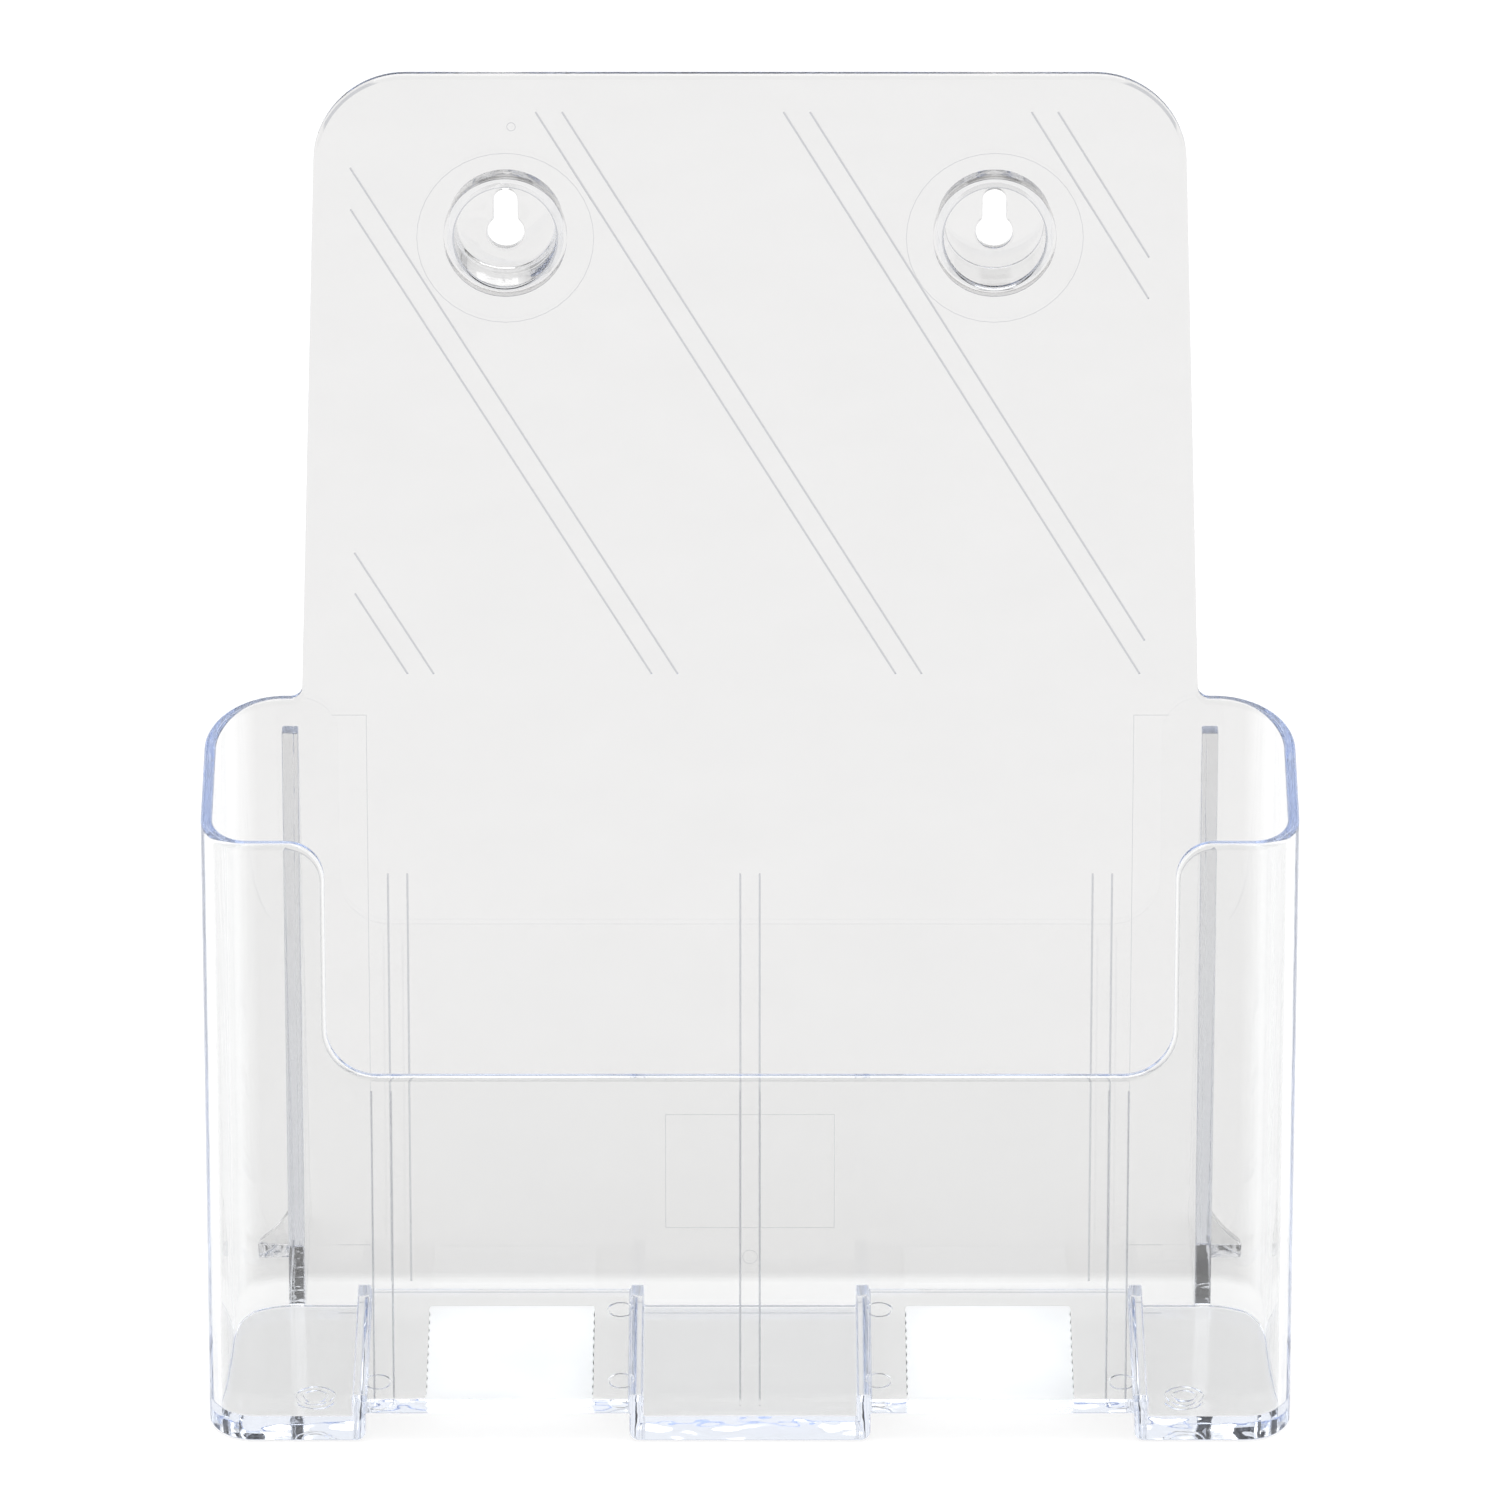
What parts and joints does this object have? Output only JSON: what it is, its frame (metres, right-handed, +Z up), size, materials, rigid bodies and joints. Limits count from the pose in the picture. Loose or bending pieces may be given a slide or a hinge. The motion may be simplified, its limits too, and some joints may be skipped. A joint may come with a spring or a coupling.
{
  "type": "brochure rack",
  "caption": "Clear plastic rack with a deep open pocket for letter-size leaflets, a leaning back panel with keyhole cups for a wall, and legs that prop it on a counter.",
  "frame": {"origin": "middle of the overall footprint, on the surface that the rack stands on", "axes": "+Z up, +Y from the pocket's front wall towards the back panel and the wall, +X to the viewer's right"},
  "size_m": [0.234, 0.0996, 0.281],
  "materials": {
    "clear_styrene": "clear, gloss, faint blue at the edges",
    "pad_white": "white, fine ridges"
  },
  "bodies": {
    "root": {"back_panel": "clear_styrene", "left_keyhole_cup": "clear_styrene", "right_keyhole_cup": "clear_styrene", "pocket_front": "clear_styrene", "left_pocket_side": "clear_styrene", "right_pocket_side": "clear_styrene", "left_foot_tray": "clear_styrene", "centre_foot_tray": "clear_styrene", "right_foot_tray": "clear_styrene", "left_raised_floor": "clear_styrene", "right_raised_floor": "clear_styrene", "left_outer_rail": "clear_styrene", "left_inner_rail": "clear_styrene", "right_inner_rail": "clear_styrene", "right_outer_rail": "clear_styrene", "left_stand_leg": "clear_styrene", "right_stand_leg": "clear_styrene", "left_leg_toe": "clear_styrene", "right_leg_toe": "clear_styrene", "left_grip_pad": "pad_white", "right_grip_pad": "pad_white"}
  },
  "joints": []
}
